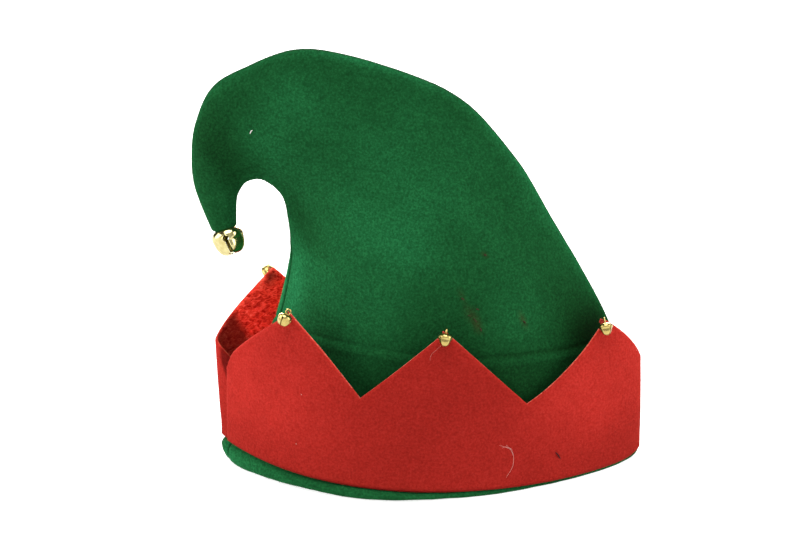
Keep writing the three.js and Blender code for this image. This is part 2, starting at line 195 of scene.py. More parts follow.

# Painted light and shade on the crown, as lighter (+) painted highlights and darker (-) painted shade
# in soft patches: across, height in sections, half width, half height and share of brightness, laid out as
# the dents are.
CROWN_PAINTED_LIGHT = [
    (0.42, 4.9, 0.36, 2.6, 0.40), (0.39, 4.3, 0.12, 0.8, 0.28), (0.17, 4.6, 0.09, 1.6, -0.20),
    (0.56, 4.1, 0.06, 1.0, -0.20), (0.50, 11.6, 0.60, 1.6, -0.36), (0.74, 2.4, 0.16, 0.7, -0.34),
    (0.05, 2.8, 0.09, 1.4, 1.00), (0.21, 2.9, 0.13, 1.3, 0.24), (0.44, 8.9, 0.40, 1.1, 0.54),
    (0.85, 10.4, 0.12, 0.6, 0.25), (0.85, 2.1, 0.10, 0.45, -0.28), (0.45, 2.45, 0.07, 0.6, -0.14),
    (0.49, 2.7, 0.08, 1.0, -0.20), (0.70, 3.8, 0.12, 0.8, -0.14), (0.62, 2.5, 0.07, 0.5, 0.30),
    (0.78, 9.2, 0.20, 1.0, -0.20), (0.20, 9.4, 0.10, 0.8, -0.22), (0.08, 5.8, 0.08, 0.9, -0.14),
    (0.88, 6.0, 0.10, 1.0, -0.12), (0.92, 3.2, 0.06, 1.4, 0.30), (0.97, 5.3, 0.06, 1.8, 0.28),
    (0.82, 2.0, 0.12, 0.5, -0.20), (0.93, 7.6, 0.05, 0.8, 0.50), (0.06, 2.6, 0.04, 0.5, 0.75),
    (0.85, 4.2, 0.05, 0.4, 0.22), (0.52, 4.9, 0.08, 0.5, 0.20), (0.55, 2.3, 0.05, 0.25, 0.16),
    (0.74, 2.12, 0.08, 0.25, -0.24), (0.29, 9.1, 0.10, 0.6, -0.16), (0.38, 2.4, 0.05, 0.25, -0.14),
    (0.42, 0.0, 0.30, 0.4, 0.26),
]

# Red fluff rubbed into the crown's front: across, height in sections, half width, half height, share.
RED_FLUFF = [
    (0.598, 3.64, 0.006, 0.06, 0.24), (0.493, 2.79, 0.006, 0.06, 0.30), (0.497, 2.55, 0.012, 0.06, 0.24),
    (0.500, 2.46, 0.008, 0.06, 0.30), (0.598, 2.42, 0.006, 0.07, 0.24),
]

# Stray threads, specks and tufts: kind, panel, radius in millimetres, then spots along each as the panel's
# tables give them, share across and height.
LINT = [
    ("pale", "band_front", 0.085,
     (0.602, 28.9), (0.612, 27.8), (0.6165, 26.0), (0.6205, 21.8), (0.618, 16.2), (0.6045, 10.4)),
    ("pale", "band_front", 0.05, (0.591, 30.4), (0.602, 28.8), (0.6135, 27.3), (0.617, 25.0)),
    ("pale", "band_front", 0.05, (0.597, 28.4), (0.605, 28.7), (0.613, 26.6)),
    ("pale", "band_front", 0.045, (0.605, 29.9), (0.610, 28.2), (0.618, 26.4), (0.620, 23.0)),
    ("pale", "band_front", 0.04,
     (0.479, 91.5), (0.471, 89.6), (0.467, 88.5), (0.4605, 86.9), (0.457, 84.9), (0.457, 83.3)),
    ("pale", "band_front", 0.16, (0.196, 58.7), (0.1975, 58.1)),
    ("pale", "band_front", 0.16, (0.182, 28.1), (0.1832, 27.6)),
    ("pale", "band_front", 0.12, (0.929, 68.1), (0.9295, 67.4)),
    ("white", "crown_front", 0.24, (0.474, 9.80), (0.484, 9.76), (0.488, 9.71)),
    ("dark", "band_front", 0.34, (0.7125, 20.4), (0.718, 18.6), (0.7237, 16.0)),
    ("red", "crown_front", 0.40, (0.5965, 3.655), (0.5995, 3.635)),
    ("red", "crown_front", 0.42, (0.490, 2.80), (0.4925, 2.775)),
    ("red", "crown_front", 0.40, (0.511, 2.645), (0.515, 2.63)),
    ("red", "crown_front", 0.18, (0.489, 2.575), (0.494, 2.56)),
    ("red", "crown_front", 0.20, (0.4985, 2.53), (0.501, 2.48)),
    ("red", "crown_front", 0.34, (0.5035, 2.41), (0.5035, 2.375)),
    ("red", "crown_front", 0.36, (0.597, 2.43), (0.599, 2.40)),
]


def between(table, position):
    """Smooth value between the rows of a table: a Catmull-Rom curve through each column, whole arrays."""
    last = len(table) - 1
    row = np.clip(np.floor(position).astype(int), 0, last - 1)
    t = (position - row)[..., None]
    a, b, c, d = (table[np.clip(row + k, 0, last)] for k in (-1, 0, 1, 2))
    return b + 0.5 * t * (c - a + t * (2 * a - 5 * b + 4 * c - d + t * (3 * (b - c) + d - a)))


def smooth_step(low, high, value):
    """0 below low, 1 above high, and a smooth S between."""
    t = np.clip((value - low) / (high - low), 0, 1)
    return t * t * (3 - 2 * t)


def patched(start, table, x, y):
    """Start plus a sum of soft bell-shaped patches: rows of place along x and y, half widths, and height."""
    for at_x, at_y, half_x, half_y, most in table:
        start = start + most * np.exp(-(((x - at_x) / half_x) ** 2) - ((y - at_y) / half_y) ** 2)
    return start


def bell_curve(away, half_width):
    """1 at no distance away, falling off to both sides as a bell curve of a half width."""
    return np.exp(-((away / half_width) ** 2))


def follow(table, value):
    """What a table of (place, amount) rows gives at a place, by straight lines between its rows."""
    return np.interp(value, *np.array(table).T)


def unit(vectors):
    """The same vectors, of length 1."""
    return vectors / np.maximum(np.linalg.norm(vectors, axis=-1, keepdims=True), 1e-12)


def run_length(points, axis=0):
    """Length run from the start of a line of points, or along each row of a grid with axis 1."""
    step = np.linalg.norm(np.diff(points, axis=axis), axis=-1)
    return np.insert(np.cumsum(step, axis=axis), 0, 0.0, axis=axis)


def position_of_height(height):
    """Row position in the crown's table of a height above the rim, by halving, where sections are level."""
    low = np.zeros_like(height, dtype=float)
    high = np.full_like(low, LEVEL_SECTIONS)
    for _ in range(30):
        middle = (low + high) / 2
        under = between(CROWN_SECTIONS, middle)[..., 1] * CROWN_HEIGHT < height
        low, high = np.where(under, middle, low), np.where(under, high, middle)
    return low


def ring_point(inner, outer, depth, point, angle, along, across):
    """A section's ring: cosine along its chord, and over its depth |sine| to the power of point, with more
    depth at the hook side."""
    chord = outer - inner
    length = np.linalg.norm(chord, axis=-1)
    share = -np.cos(angle)
    reach = (length / 2 + along) * share
    spot = (inner + outer) / 2 + chord / length[..., None] * reach[..., None]
    bow = np.sign(np.sin(angle)) * np.abs(np.sin(angle)) ** point
    y = -(depth + across) * bow * (1 - RIM_FULLNESS * share)
    return np.stack([spot[..., 0], y, spot[..., 1]], -1)


def crown_ring(position, angle, along=0.0, across=0.0):
    """Point of the crown's outer face at a row position of the table, moved along and across its section."""
    row = between(CROWN_SECTIONS, position)
    inner = row[..., 0:2] * (RIM_HALF_WIDTH, CROWN_HEIGHT)
    outer = row[..., 2:4] * (RIM_HALF_WIDTH, CROWN_HEIGHT)
    return ring_point(inner, outer, row[..., 4] * RIM_HALF_DEPTH, row[..., 5], angle, along, across)


def far_share(angle):
    """Share of the way from the hook side (0) to the far side (1) of the rim."""
    return np.clip((1 - np.cos(angle)) / 2, 0, 1)


def rim_lift(angle):
    """How far the rim stands off the floor at an angle round it: a bell curve about its far end."""
    return FAR_END_LIFT * bell_curve(angle - math.pi, 0.24)


def rolled_edge(angle):
    """(height, bulge) of the rolled edge's top at an angle round the rim, in millimetres."""
    row = between(ROLLED_EDGE, far_share(angle) * (len(ROLLED_EDGE) - 1))
    return row[..., 0] * ROLL_HEIGHT_MOST + rim_lift(angle), row[..., 1] * ROLL_BULGE_MOST


def band_point(angle, height, offset):
    """The rim's own ring at a height, outside the crown, flared along its width and leaning in over its
    depth."""
    inner = np.stack([-RIM_HALF_WIDTH - BAND_FLARE[0] * height, height], -1)
    outer = np.stack([RIM_HALF_WIDTH + BAND_FLARE[1] * height, height], -1)
    depth_offset = offset - BAND_LEAN * height
    return ring_point(inner, outer, RIM_HALF_DEPTH, CROWN_SECTIONS[0, 5], angle, offset, depth_offset)


# For each side: the angle its panels start at, and half a step from the seams towards it.
PANEL_START = {"front": 0.0, "back": math.pi}
OUT_OF_SEAM = {"front": np.array([0, -0.5, 0]), "back": np.array([0, 0.5, 0])}


def seam_lean(side, angle, height):
    """Turn of the panels near the hook side's seam, which runs further round the rim at its foot: a bell
    curve away from the seam, fading out with height."""
    seam = SEAM_TURN if side == "front" else 2 * math.pi + SEAM_TURN
    foot = 0.03 * smooth_step(110.0, 80.0, height) + 0.095 * smooth_step(72.0, 0.0, height)
    return -foot * bell_curve(angle - seam, 0.4)


def panel_run(side):
    """Angles along one panel at fine equal steps, and each one's share of the panel's length."""
    angle = PANEL_START[side] + SEAM_TURN + np.linspace(0, math.pi, 721)
    run = run_length(band_point(angle, np.zeros_like(angle), LAY_GAP))
    return angle, run / run[-1]


def band_top(angle, rise):
    """Height of the band's cut edge between valley (rise 0) and peak (rise 1)."""
    far = far_share(angle)
    peak = BAND_PEAK[0] + (BAND_PEAK[1] - BAND_PEAK[0]) * far
    valley = BAND_VALLEY[0] + (BAND_VALLEY[1] - BAND_VALLEY[0]) * far
    return valley + (peak - valley) * rise


def zigzag_rise(side, share):
    """Rise from valley to peak at a share of the panel's length: straight flanks with a small sag."""
    along, sag = np.array(ZIGZAG[side]).T
    k = np.clip(np.searchsorted(along, share, side="right") - 1, 0, len(along) - 2)
    part = (share - along[k]) / (along[k + 1] - along[k])
    straight = np.where(k % 2 == 0, part, 1 - part)
    return straight - 4 * sag[k] * part * (1 - part)


# Meshes


def grid_faces(rows, columns, wrap=False):
    """Quads of a grid of points, rows of equal length, facing out where columns run left to right."""
    across = np.arange(columns if wrap else columns - 1)
    r, c = np.meshgrid(np.arange(rows - 1), across, indexing="ij")
    d = (c + 1) % columns
    quads = [r * columns + c, r * columns + d, (r + 1) * columns + d, (r + 1) * columns + c]
    return np.stack(quads, -1).reshape(-1, 4)


def wall_faces(rows, columns):
    """Quads of a closed wall between an outer and an inner grid of points: both faces and the four edges."""
    n = rows * columns
    face = grid_faces(rows, columns)
    left = np.arange(rows - 1) * columns
    right = left + columns - 1
    foot = np.arange(columns - 1)
    head = foot + (rows - 1) * columns
    edges = [
        np.stack([left, left + columns, left + columns + n, left + n], -1),
        np.stack([right, right + n, right + columns + n, right + columns], -1),
        np.stack([foot, foot + n, foot + n + 1, foot + 1], -1),
        np.stack([head, head + 1, head + n + 1, head + n], -1),
    ]
    return np.concatenate([face, face[:, ::-1] + n, *edges])


def new_mesh(name, points, faces, smooth=True, marks=None):
    """Mesh object from points in millimetres about the floor's origin, and quads or triangles."""
    points = np.asarray(points, float).reshape(-1, 3)
    faces = np.asarray(faces, int)
    mesh = bpy.data.meshes.new(name)
    count, corners = faces.shape
    mesh.vertices.add(len(points))
    mesh.vertices.foreach_set("co", ((points + ORIGIN) * MM).ravel())
    mesh.loops.add(count * corners)
    mesh.loops.foreach_set("vertex_index", faces.ravel())
    mesh.polygons.add(count)
    mesh.polygons.foreach_set("loop_start", np.arange(count) * corners)
    mesh.polygons.foreach_set("use_smooth", np.full(count, smooth))
    for mark, values in (marks or {}).items():
        layer = mesh.attributes.new(mark, "FLOAT", "POINT")
        layer.data.foreach_set("value", np.asarray(values, float).ravel())
    mesh.update(calc_edges=True)
    mesh.validate()
    piece = bpy.data.objects.new(name, mesh)
    bpy.context.scene.collection.objects.link(piece)
    return piece


def merged(points, faces):
    """Points nearer than a hundred-thousandth of a millimetre made one, and the quads told so as triangles,
    but for those that collapse."""
    keys = np.round(points / 1e-5).astype(np.int64)
    _, first, back = np.unique(keys, axis=0, return_index=True, return_inverse=True)
    faces = back.reshape(-1)[faces]
    tris = np.concatenate([faces[:, [0, 1, 2]], faces[:, [0, 2, 3]]])
    whole = (tris[:, 0] != tris[:, 1]) & (tris[:, 1] != tris[:, 2]) & (tris[:, 2] != tris[:, 0])
    return points[first], tris[whole]


def grid_normals(points):
    """Outward unit normals of a grid of points: cross product of its steps along a row and up a column."""
    return unit(np.cross(np.gradient(points, axis=1), np.gradient(points, axis=0)))


def edge_distance(points):
    """Distance in millimetres of each grid point from the nearer end of its row, along the row."""
    run = run_length(points, 1)
    return np.minimum(run, run[:, -1:] - run)


def rounded_edge(distance, radius):
    """How far a face drops near a rounded edge: a quarter circle over the radius, none beyond."""
    t = np.clip(1 - distance / radius, 0, 1)
    return radius * (1 - np.sqrt(1 - t * t))


def lumps(points, size, seed, octaves):
    """Smooth random relief about -1 to 1: sums of sine waves in random directions, of a wavelength in mm."""
    draw = np.random.default_rng(seed)
    total = np.zeros(points.shape[:-1])
    for octave in range(octaves):
        for _ in range(5):
            way = draw.normal(size=3)
            way *= 2 * math.pi * 2**octave / (size * np.linalg.norm(way))
            total += np.sin(points @ way + draw.uniform(0, 2 * math.pi)) / 2**octave
    return total / 4.0


# Felt


def felt_relief(points, reach, seed):
    """Uneven thickness of brushed felt in millimetres: broad soft waves and shallow finger-sized lumps."""
    return reach * (0.85 * lumps(points, 62.0, seed, 1) + 0.15 * lumps(points, 15.0, seed + 1, 2))


def crown_rows(count):
    """Row positions of the crown above its roll, denser about the edge of the turned-in felt and the tip."""
    first = position_of_height(np.array(ROLL_HEIGHT_MOST + 2 * LAY_GAP))
    crease = position_of_height(np.array(TURN_UP_HEIGHT))
    last = len(CROWN_SECTIONS) - 1
    even = np.linspace(float(first), last, count)
    fine = float(crease) + np.linspace(-0.4, 0.12, 34)
    end = last - np.linspace(0, 0.08, 6)
    return np.unique(np.round(np.concatenate([even, fine, end]), 5))


def crown_light_and_shade(share, position):
    """Painted light and shade of the crown about 1: the sum of its painted patches, with painted shade
    low down in the gap behind the band.
    """
    tone = patched(1.0, CROWN_PAINTED_LIGHT, share, position)
    # painted shade low down, in the gap behind the band
    return tone * (0.97 - 0.42 * smooth_step(2.6, 1.6, position) * smooth_step(0.3, 0.7, position))


def crease_relief(height, share):
    """Relief of the turned-in felt's edge and its painted light and shade: a swell just below its height,
    with a painted highlight on it, and a narrow groove just above, with painted shade in it. The edge falls a
    little towards the far side, and its light and shade are painted from the middle to the far side only."""
    wander = 1.2 * np.sin(share * 9.0) + 0.7 * np.sin(share * 23.0 + 1.0)
    off = height - (TURN_UP_HEIGHT + 2.0 - 16.0 * share) - wander
    swell, groove = bell_curve(off + 3.2, 2.8), bell_curve(off - 0.9, 1.1)
    return 0.75 * swell - 0.55 * groove, (0.16 * swell - 0.3 * groove) * smooth_step(0.4, 0.6, share)


def arch_pulls(position, share):
    """Fine pull wrinkles that fan out from the inside of the curl, in millimetres."""
    near = bell_curve(position - 9.0, 1.6) * bell_curve(share, 0.16)
    return near * (0.55 * np.sin(position * 15.0 + 3.0 * share) + 0.35 * np.sin(position * 27.0))


def crown_grid(side, felt):
    """Row positions, outer face and inner face of a crown panel before its relief. The roll's rows come
    first, then a few that bridge to the rows above it, where the seams turn back to the crown's ends."""
    columns, rows = CROWN_GRID
    angle = PANEL_START[side] + SEAM_TURN + np.linspace(0, math.pi, columns)
    roll_height, roll_bulge = rolled_edge(angle)
    share = np.linspace(0, 1, 22)
    lift = rim_lift(angle)
    swell = np.outer(follow(ROLL_PROFILE, share), roll_bulge)
    hook_end = bell_curve(far_share(angle), 0.04)
    swell += HOOK_END_SWELL * hook_end * follow(HOOK_END_PROFILE, share)[:, None]
    swell -= FLOOR_TUCK * np.maximum(0, 1 - share / 0.4)[:, None] ** 2
    low = position_of_height(lift + np.outer(share, roll_height - LAY_GAP - lift))
    above = crown_rows(rows)
    bridge = low[-1] + (above[0] - low[-1]) * np.linspace(0, 1, 5)[1:-1, None]
    position = np.concatenate([low, bridge, np.broadcast_to(above[:, None], (len(above), columns))])
    over_roll = np.arange(len(position))[:, None] >= len(low)
    turn = -SEAM_TURN * smooth_step(0, SEAM_TURN_SECTIONS, position) * over_roll
    swell = np.concatenate([swell, np.zeros((len(position) - len(swell), columns))])
    lean = seam_lean(side, angle, between(CROWN_SECTIONS, position)[..., 1] * CROWN_HEIGHT)
    ring = angle + turn + lean
    outside = crown_ring(position, ring, swell, swell)
    layers = 1 + smooth_step(TURN_UP_HEIGHT + 0.5, TURN_UP_HEIGHT - 0.5, outside[..., 2])
    thin = np.ones((len(position), 1))
    thin[: len(share), 0] = follow(ROLL_THICKNESS, share)
    wall = layers * felt * thin
    return position, outside, crown_ring(position, ring, -SEAM_WALL * wall, -wall)


def crown_panel(side, felt, fold):
    """One crown panel as outer and inner grids. Its rings follow the table of sections up the hat, with the
    lower edge rolled out, and the outer face moves along its normal by dents, relief and rounded seam folds.
    """
    position, outside, inside = crown_grid(side, felt)
    columns = outside.shape[1]
    height, edge = outside[..., 2], edge_distance(outside)
    across = np.broadcast_to(np.linspace(0, 1, columns), position.shape)
    if side == "back":
        across = 1 - across
    crease, crease_light_and_shade = crease_relief(height, across)
    creased = smooth_step(1.0, 6.0, edge) * (position < LEVEL_SECTIONS)
    run = run_length(outside[:, columns // 2])
    from_tip = (run[-1] - run)[:, None]
    seam_fold = fold * (1 + smooth_step(16.0, 10.0, height))
    near, far = (follow(table, position) for table in (HOOK_SEAM_FULLNESS, FAR_SEAM_FULLNESS))
    relief = patched(0.0, CROWN_DENTS[side], across, position) * smooth_step(0.0, 14.0, edge)
    relief += crease * creased
    relief += arch_pulls(position, across) * smooth_step(0.5, 3.0, edge)
    relief += felt_relief(outside, 0.7, SEEDS[side]["crown"]) * smooth_step(1.0, 9.0, edge)
    relief -= rounded_edge(edge, seam_fold) * 0.8 + rounded_edge(from_tip, 1.6)
    relief += np.where(across < 0.5, near, far) * smooth_step(30.0, 2.0, edge)
    outside = outside + grid_normals(outside) * relief[..., None]
    # Painted light and shade: painted highlights along the seams and at the roll's hook end, painted shade
    # right at the seams, and the crease's painted highlight and shade; the lumps are random tone.
    tone = crown_light_and_shade(across, position) + 0.4 * bell_curve(edge, 4.5)
    tone = patched(tone, [(0.0, 0.0, 0.14, 12.0, 0.9)], across, height)
    tone *= 1 - 0.5 * bell_curve(edge, 0.9)
    tone *= (1 + crease_light_and_shade * creased) * (1 + 0.085 * lumps(outside, 36.0, CROWN_TONE_SEED, 2))
    fluff = patched(np.zeros_like(tone), RED_FLUFF if side == "front" else [], across, position)
    return outside, inside, tone, fluff


def band_columns(side, per_flank):
    """Angles of a band panel's columns with a column on every corner of its zigzag, their rise, and their
    share of its length."""
    angle, run = panel_run(side)
    corners = np.array(ZIGZAG[side])[:, 0]
    spread = np.arange(per_flank) / per_flank
    share = np.append((corners[:-1, None] + np.diff(corners)[:, None] * spread).ravel(), 1.0)
    return np.interp(share, run, angle), zigzag_rise(side, share), share


def band_tone(side, share, height, foot):
    """Brightness of the band's two faces about 1, as painted light and shade: painted light towards its
    ends at the top, soft painted patches, and a painted shadow along the seam at its foot. The back panel
    has painted shade inside near the hook side's seam and under a bell's stitches, and outside in the
    groove along that seam, which opens towards the top."""
    # painted light towards the band's ends at the top, painted shade at its ends low down, and painted
    # patches
    ends = np.minimum(1, np.abs(share - 0.47) / 0.42) ** 2
    tone = patched(0.93 + ends * (0.26 * np.clip(height / 70.0, 0, 1) - 0.1), BAND_PAINTED_LIGHT, share, height)
    # painted shadow along the seam at the band's foot
    tone = tone * (1 - 0.4 * bell_curve(height - foot, 1.3))
    if side == "front":
        return tone, np.ones_like(tone)
    # painted shade inside the back panel near the hook side's seam
    shaded = smooth_step(-0.016, 0.016, share - 0.852 - 0.002 * (height - 69.0))
    from_seam = (1 - share) * 1000.0 * BAND_CUT[0]
    reach = 1.2 + 6.5 * smooth_step(46.0, 66.0, height)
    # painted shade in the groove along the hook side's seam, wider towards the top
    tone = tone * (1 - 0.66 * smooth_step(reach + 1.5, reach - 1.0, from_seam))
    # inside: that painted shade and the painted shade under a bell's stitches
    return tone, (1 - 0.62 * shaded) * patched(1.0, BAND_STITCH_SHADE, share, height)


def band_panel(side, felt, cut):
    """One band panel as outer and inner grids: rings of the rim from the roll up to the zigzag's cut edge.
    Both faces draw together by a quarter circle at the cut edge, the lower edge and the folded ends. A
    painted highlight runs along the cut where it faces the far side."""
    per_flank, rows = BAND_GRID
    angle, rise, along = band_columns(side, per_flank)
    foot, _ = rolled_edge(angle)
    top = band_top(angle, rise)
    if side == "front":
        top = top - 6.5 * np.maximum(0, 1 - along / 0.035) ** 2
    share = np.linspace(0, 1, rows)
    share -= 0.12 * np.sin(2 * math.pi * share) / (2 * math.pi)
    height = foot + np.outer(share, top - foot)
    wide = angle + seam_lean(side, angle, height)
    outside = band_point(wide, height, LAY_GAP + felt)
    inside = band_point(wide, height, LAY_GAP)
    outward = grid_normals(outside)
    edge = edge_distance(outside)
    if side == "back":
        from_hook_seam = edge + 1000.0 * (far_share(angle) > 0.5)
        sink = 2.6 * bell_curve(from_hook_seam, 8.5) * smooth_step(8.0, 26.0, height)
        outside = outside - outward * sink[..., None]
        inside = inside - outward * sink[..., None]
    under_cut = (top - height) * 0.72
    drop = np.maximum(rounded_edge(edge, 1.7), rounded_edge(height - foot, 1.1))
    drop = np.maximum(drop, rounded_edge(under_cut, cut))
    free = smooth_step(0, 12, edge)
    relief = felt_relief(outside, 0.35, SEEDS[side]["band"]) * free
    lift = 0.35 * lumps(outside, 34.0, SEEDS[side]["band_lift"], 1) * smooth_step(14, 2, under_cut) * free
    lift = np.maximum(lift, -0.15)
    inside = inside + outward * (rounded_edge(under_cut, cut * 0.6) + lift)[..., None]
    outside = outside + outward * (relief - drop + lift)[..., None]
    tone = np.stack(band_tone(side, along[None, :], height, foot))
    # painted highlight along the cut edge on flanks that face the far side
    cut_highlight = 0.16 * (np.gradient(top) < 0) * bell_curve(under_cut, 0.7)
    tone[0] *= 1 + 0.04 * lumps(outside, 30.0, BAND_TONE_SEED, 2) + cut_highlight
    return outside, inside, tone


def panel_point(panel, share, level):
    """Point on or near a panel's outer face: at a height in millimetres on the band, at a row of the
    sections' table on the crown."""
    kind, side = panel.split("_")
    if kind == "band":
        angle_run, run = panel_run(side)
        angle = np.array(np.interp(share, run, angle_run))
        return band_point(angle + seam_lean(side, angle, level), np.array(level), BAND_REACH)
    turn = SEAM_TURN * (1 - smooth_step(0, SEAM_TURN_SECTIONS, level))
    return crown_ring(np.array(level), np.array(PANEL_START[side] + turn + math.pi * share))


def nap(name, surface, count, length, width, lie, seed, tone):
    """Loose fibres of the felt's brushed face: three-sided spikes, each a base triangle on the surface and a
    tip raised along its normal, leaning along the lie of the nap and by a random amount."""
    draw = np.random.default_rng(seed)
    normal = grid_normals(surface)
    start = surface[:-1, :-1]
    quad = np.linalg.norm(np.cross(surface[1:, :-1] - start, surface[:-1, 1:] - start), axis=-1)
    cell = draw.choice(quad.size, count, p=(quad / quad.sum()).ravel())
    r, c = np.divmod(cell, surface.shape[1] - 1)
    u, v = draw.random((2, count, 1))

    def at(grid):
        low = grid[r, c] * (1 - u) + grid[r, c + 1] * u
        high = grid[r + 1, c] * (1 - u) + grid[r + 1, c + 1] * u
        return low * (1 - v) + high * v

    root, out = at(surface), unit(at(normal))
    loose = draw.normal(size=(count, 3)) * NAP_CURL + np.asarray(lie)
    way = unit(out + loose - out * np.sum(loose * out, axis=1, keepdims=True))
    reach = length * draw.gamma(3.0, 1 / 3.0, size=(count, 1)).clip(0.25, 2.4)
    side_way = unit(np.cross(way, draw.normal(size=(count, 3))))
    third = np.cross(way, side_way)
    root = root - out * 0.15
    corners = [
        root + width * (math.cos(a) * side_way + math.sin(a) * third)
        for a in (0, 2 * math.pi / 3, 4 * math.pi / 3)
    ]
    points = np.stack([*corners, root + way * reach], axis=1).reshape(-1, 3)
    points[:, 2] = np.maximum(points[:, 2], 0.02)
    spike = np.array([[0, 2, 1], [0, 1, 3], [1, 2, 3], [2, 0, 3]])
    faces = (4 * np.arange(count)[:, None, None] + spike).reshape(-1, 3)
    # each fibre carries the panel's tone where it grows: painted light and shade with random tone
    return new_mesh(name, points, faces, smooth=False, marks={"tone": np.repeat(tone[r, c], 4)})


# Bells


def bell_radius(diameter, inset, height, square):
    """Radius of a bell at a height above its widest line: a quarter ellipse to a power, boxier if low."""
    half = np.where(height < 0, BOWL, DOME) * diameter - inset
    share = np.clip(np.abs(height) / half, 0, 1)
    return (diameter / 2 - inset) * np.sqrt(np.maximum(0, 1 - share**2)) ** square


def petal_reach(turn, flat):
    """Radius of a quarter as a share, at an angle between its slots: a straight chord across its middle that
    runs smoothly into the round beside the slots."""
    chord = (1 - flat) / np.cos(turn - math.pi / 4)
    return (chord**-12.0 + 1) ** (-1 / 12)


def bell_shell(diameter, wall, square, petals, across, slot, hole):
    """Body of a jingle bell on +Z: four quarters of a dome and bowl, merged above the round holes and held
    apart below them by the cross of slots. Each quarter of the bowl is a flat petal with rounded sides, as a
    pressed cross of sheet folds down. Slot is half a slot's width and hole a round hole's radius."""
    drop = 0.9 * hole
    rim_top = hole - drop
    dome = DOME * diameter * np.sin(np.linspace(math.pi / 2, 0, across // 2 + 3))
    dome = dome[dome > rim_top + 0.004 * diameter]
    hole_end = math.acos(-math.sqrt(1 - (slot / hole) ** 2))
    beside_hole = rim_top - hole * (1 - np.cos(np.linspace(0, hole_end, across // 2 + 3)))
    low = BOWL * diameter * np.sin(np.linspace(0, math.pi / 2, 60))
    low = -low[low > -beside_hole[-1] + 0.01 * diameter][:: 5 - across // 4]
    end = np.sqrt(2) * slot
    low = low[bell_radius(diameter, 0, low, square) > end * 1.08]
    last = -BOWL * diameter * np.sqrt(1 - (end / (diameter / 2)) ** (2 / square))
    height = np.concatenate([dome, beside_hole, low, [last]])
    hole_gap = np.sqrt(np.maximum(0, hole**2 - (height + drop) ** 2)) * (height < rim_top - 1e-9)
    gap = np.where(height > beside_hole[-1] + 1e-9, hole_gap, slot)
    crimp = 0.006 * diameter * bell_curve(height / diameter - 0.018, 0.02)

    def face(inset):
        tall = height * (1 - 2 * inset / diameter)
        radius = np.maximum(bell_radius(diameter, inset, tall, square), 0) + crimp * (inset == 0)
        edge = np.arcsin(np.clip(gap / np.maximum(radius, 1e-9), 0, math.sqrt(0.5)))[:, None]
        turn = edge + (math.pi / 2 - 2 * edge) * np.linspace(0, 1, across)
        flat = (petals + 0.3) * smooth_step(0.04, -0.2, height / diameter)[:, None] - 0.3
        radius = radius[:, None] * petal_reach(turn, flat)
        tall = np.broadcast_to(tall[:, None], turn.shape)
        return np.stack([radius * np.cos(turn), radius * np.sin(turn), tall], -1).reshape(-1, 3)

    points = np.concatenate([face(0.0), face(wall)])
    rows, n = len(height), len(height) * across
    skin = grid_faces(rows, across)[:, ::-1]
    left = np.arange(rows - 1)[gap[1:] > 0] * across
    right = left + across - 1
    sides = [
        np.stack([left, left + across, left + across + n, left + n], -1),
        np.stack([right, right + n, right + across + n, right + across], -1),
    ]
    faces = np.concatenate([skin, skin[:, ::-1] + n, *sides])
    return merged(*joined([(points @ turned("Z", 90 * quarter).T, faces) for quarter in range(4)]))


def tube(path, radius, across, sides=8, closed=False):
    """Round tube along a path of points: a circle in the plane across the path at each one, measured from one
    direction that never runs along the path. Open ends close in a point; radius may differ by point."""
    path, across = np.asarray(path, float), np.asarray(across, float)
    ahead = unit(np.roll(path, -1, 0) - np.roll(path, 1, 0) if closed else np.gradient(path, axis=0))
    side_way = unit(across - ahead * (ahead @ across)[:, None])
    up = np.cross(ahead, side_way)
    turn = full_turn(sides)[:, None]
    radius = np.broadcast_to(radius, len(path))[:, None, None]
    points = path[:, None] + (side_way[:, None] * np.cos(turn) + up[:, None] * np.sin(turn)) * radius
    if closed:
        points = np.concatenate([points, points[:1]])
    else:
        points = np.stack([np.repeat(path[:1], sides, 0), *points, np.repeat(path[-1:], sides, 0)])
    return merged(points.reshape(-1, 3), grid_faces(len(points), sides, wrap=True))


def full_turn(steps):
    """Angles in equal steps once round, without the last one, which is the first again."""
    return np.linspace(0, 2 * math.pi, steps, endpoint=False)


def joined(parts):
    """Several (points, triangles) as one."""
    starts = np.cumsum([0] + [len(points) for points, _ in parts[:-1]])
    return (
        np.concatenate([points for points, _ in parts]),
        np.concatenate([faces + start for (_, faces), start in zip(parts, starts)]),
    )


def loop_centre(diameter, radius, wire):
    """Height of the loop's middle above the bell's widest line: its wire goes into the dome by its
    thickness."""
    return DOME * diameter + radius - wire


def jingle_bell(diameter, wall, loop_radius, wire, square, petals, across, slot, hole):
    """Points and triangles of one bell: its shell and the wire loop that stands in its dome, turned halfway
    between the slots. Square is the power of its outline and petals how flat its quarters are."""
    turn = full_turn(28)
    reach = loop_radius - wire
    half = math.sqrt(0.5)
    circle = np.stack([half * reach * np.sin(turn), half * reach * np.sin(turn), reach * np.cos(turn)], -1)
    circle[:, 2] += loop_centre(diameter, loop_radius, wire)
    loop = tube(circle, wire, (half, -half, 0), closed=True)
    return joined([bell_shell(diameter, wall, square, petals, across, slot, hole), loop])


def turned(axis, degrees):
    """Rotation matrix about X, Y or Z."""
    c, s = math.cos(math.radians(degrees)), math.sin(math.radians(degrees))
    turns = {
        "X": [[1, 0, 0], [0, c, -s], [0, s, c]],
        "Y": [[c, 0, s], [0, 1, 0], [-s, 0, c]],
        "Z": [[c, -s, 0], [s, c, 0], [0, 0, 1]],
    }
    return np.array(turns[axis], float)


